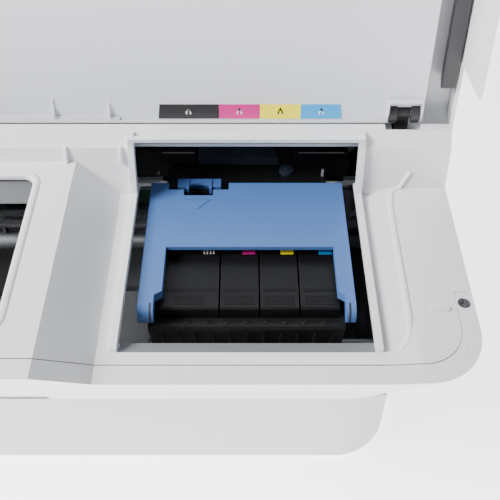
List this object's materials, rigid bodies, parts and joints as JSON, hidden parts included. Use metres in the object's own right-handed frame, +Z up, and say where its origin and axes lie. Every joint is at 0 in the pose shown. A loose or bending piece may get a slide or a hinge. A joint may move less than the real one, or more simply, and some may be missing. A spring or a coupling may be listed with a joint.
{
  "type": "inkjet printer",
  "caption": "Wide desktop inkjet printer, lid open, with a sliding ink carriage under a hinged blue cover, paper rollers, roll holder, tilting control panel and covers that open.",
  "frame": {"origin": "centre of the outline, on the surface that the feet stand on", "axes": "+X to the user's right along the width, +Y to the rear, +Z up"},
  "size_m": [0.97, 0.505, 0.4004],
  "materials": {
    "casing_white": "fine satin texture",
    "liner_grey": "satin",
    "base_grey": "fine texture",
    "dark_plastic": "satin",
    "black_plastic": "satin",
    "cartridge_black": "semi-gloss",
    "cartridge_magenta": "semi-gloss, magenta tag",
    "cartridge_yellow": "semi-gloss, yellow tag",
    "cartridge_cyan": "semi-gloss, cyan tag",
    "cover_blue": "satin",
    "latch_blue": "satin",
    "slate_plastic": "satin",
    "ink_label": "printed film in four fields",
    "zinc_steel": "zinc plated",
    "polished_steel": "ground and polished",
    "beam_black": "black coating",
    "roller_grey": "matt grit coating",
    "roller_rubber": "matt",
    "gear_plastic": "acetal",
    "brass": "machined",
    "motor_steel": "plated",
    "belt_rubber": "matt",
    "encoder_film": "clear film",
    "circuit_green": "solder mask",
    "screen_glass": "glossy",
    "button_grey": "satin",
    "foot_rubber": "matt"
  },
  "bodies": {
    "base": {"lower_case": "casing_white", "front_cover": "casing_white", "top_cover": "casing_white", "end_cover_left": "casing_white", "end_cover_right": "casing_white", "rear_top_cover": "casing_white", "rear_cover": "casing_white", "hinge_brackets": "dark_plastic", "side_frame_left": "zinc_steel", "side_frame_right": "zinc_steel", "rail_beam": "beam_black", "guide_shaft": "polished_steel", "platen": "black_plastic", "feed_motor": "motor_steel", "pinch_holder": "roller_grey", "exit_guide": "black_plastic", "timing_belt": "belt_rubber", "carriage_motor": "motor_steel", "platen_supports": "black_plastic", "encoder_strip": "encoder_film", "roll_cradle": "base_grey", "cap_station": "black_plastic", "cap_and_wiper": "roller_rubber", "waste_ink_box": "base_grey", "power_supply": "zinc_steel", "main_board": "circuit_green", "panel_bay": "base_grey", "power_inlet": "dark_plastic", "screws": "motor_steel", "feet": "foot_rubber"},
    "lid": {"lid_shell": "casing_white", "lid_liner": "liner_grey", "lid_end_blocks": "dark_plastic", "ink_label": "ink_label", "lid_pins": "polished_steel"},
    "carriage": {"carriage_body": "black_plastic", "carriage_bushes": "brass", "head_board": "slate_plastic", "print_head": "black_plastic", "cartridge_black": "cartridge_black", "cartridge_magenta": "cartridge_magenta", "cartridge_yellow": "cartridge_yellow", "cartridge_cyan": "cartridge_cyan", "cover_pins": "polished_steel"},
    "ink_cover": {"cartridge_cover": "cover_blue"},
    "latch": {"cover_latch": "latch_blue"},
    "belt_drive": {"drive_pulley": "zinc_steel"},
    "belt_idler": {"idler_pulley": "gear_plastic"},
    "feed": {"feed_roller": "roller_grey", "feed_gear": "gear_plastic"},
    "pinion": {"feed_pinion": "brass"},
    "pinch": {"pinch_rollers": "roller_rubber"},
    "exit": {"exit_roller": "roller_rubber"},
    "stars": {"star_wheels": "zinc_steel"},
    "roll": {"roll_spindle": "dark_plastic", "spindle_flanges": "dark_plastic"},
    "roll_lid": {"roll_cover": "casing_white"},
    "panel": {"control_panel": "dark_plastic", "touch_screen": "screen_glass"},
    "button": {"power_button": "button_grey"}
  },
  "joints": [
    {"name": "lid_hinge", "type": "hinge", "parent": "base", "child": "lid", "pos_m": [0, -0.0535, 0.214], "axis": [1, 0, 0], "range_deg": [0, 96]},
    {"name": "carriage_slide", "type": "slide", "parent": "base", "child": "carriage", "axis": [-1, 0, 0], "range_m": [0, 0.7]},
    {"name": "ink_cover_hinge", "type": "hinge", "parent": "carriage", "child": "ink_cover", "pos_m": [0.344, -0.166, 0.137], "axis": [-1, 0, 0], "range_deg": [-78, 0]},
    {"name": "latch_flex", "type": "hinge", "parent": "ink_cover", "child": "latch", "pos_m": [0.3104, -0.071, 0.1575], "axis": [1, 0, 0], "range_deg": [0, 8], "stiffness_Nm_per_rad": 0.4, "springref_deg": -1.72},
    {"name": "belt_drive_spin", "type": "hinge", "parent": "base", "child": "belt_drive", "pos_m": [0.418, 0.002, 0.146], "axis": [0, 1, 0], "range_deg": [-10, 4500]},
    {"name": "belt_idler_spin", "type": "hinge", "parent": "base", "child": "belt_idler", "pos_m": [-0.418, 0.002, 0.146], "axis": [0, 1, 0], "range_deg": [-10, 4500]},
    {"name": "feed_roller_spin", "type": "hinge", "parent": "base", "child": "feed", "pos_m": [0, -0.05, 0.086], "axis": [1, 0, 0], "continuous": true},
    {"name": "feed_pinion_spin", "type": "hinge", "parent": "base", "child": "pinion", "pos_m": [0, -0.0352, 0.0712], "axis": [1, 0, 0], "continuous": true},
    {"name": "pinch_roller_spin", "type": "hinge", "parent": "base", "child": "pinch", "pos_m": [0, -0.047, 0.1], "axis": [1, 0, 0], "continuous": true},
    {"name": "exit_roller_spin", "type": "hinge", "parent": "base", "child": "exit", "pos_m": [0, -0.158, 0.083], "axis": [1, 0, 0], "continuous": true},
    {"name": "star_wheel_spin", "type": "hinge", "parent": "base", "child": "stars", "pos_m": [0, -0.158, 0.097], "axis": [1, 0, 0], "continuous": true},
    {"name": "roll_spin", "type": "hinge", "parent": "base", "child": "roll", "pos_m": [0, 0.14, 0.135], "axis": [1, 0, 0], "continuous": true},
    {"name": "roll_cover_hinge", "type": "hinge", "parent": "base", "child": "roll_lid", "pos_m": [0, 0.233, 0.225], "axis": [-1, 0, 0], "range_deg": [0, 80]},
    {"name": "panel_tilt", "type": "hinge", "parent": "base", "child": "panel", "pos_m": [-0.359, -0.23871, 0.17506], "axis": [-1, 0, 0], "range_deg": [0, 70]},
    {"name": "power_button_press", "type": "slide", "parent": "base", "child": "button", "axis": [0, 0.8821, 0.471], "range_m": [0, 0.0015], "stiffness_N_per_m": 900, "springref_m": -0.0008}
  ],
  "couplings": [
    {"joint": "belt_drive_spin", "follows": "carriage_slide", "rad_per_m": 111.11},
    {"joint": "belt_idler_spin", "follows": "carriage_slide", "rad_per_m": 111.11},
    {"joint": "feed_pinion_spin", "follows": "feed_roller_spin", "ratio": -3.3333},
    {"joint": "pinch_roller_spin", "follows": "feed_roller_spin", "ratio": -1.8},
    {"joint": "exit_roller_spin", "follows": "feed_roller_spin", "ratio": 1.2857},
    {"joint": "star_wheel_spin", "follows": "feed_roller_spin", "ratio": -1.5}
  ]
}
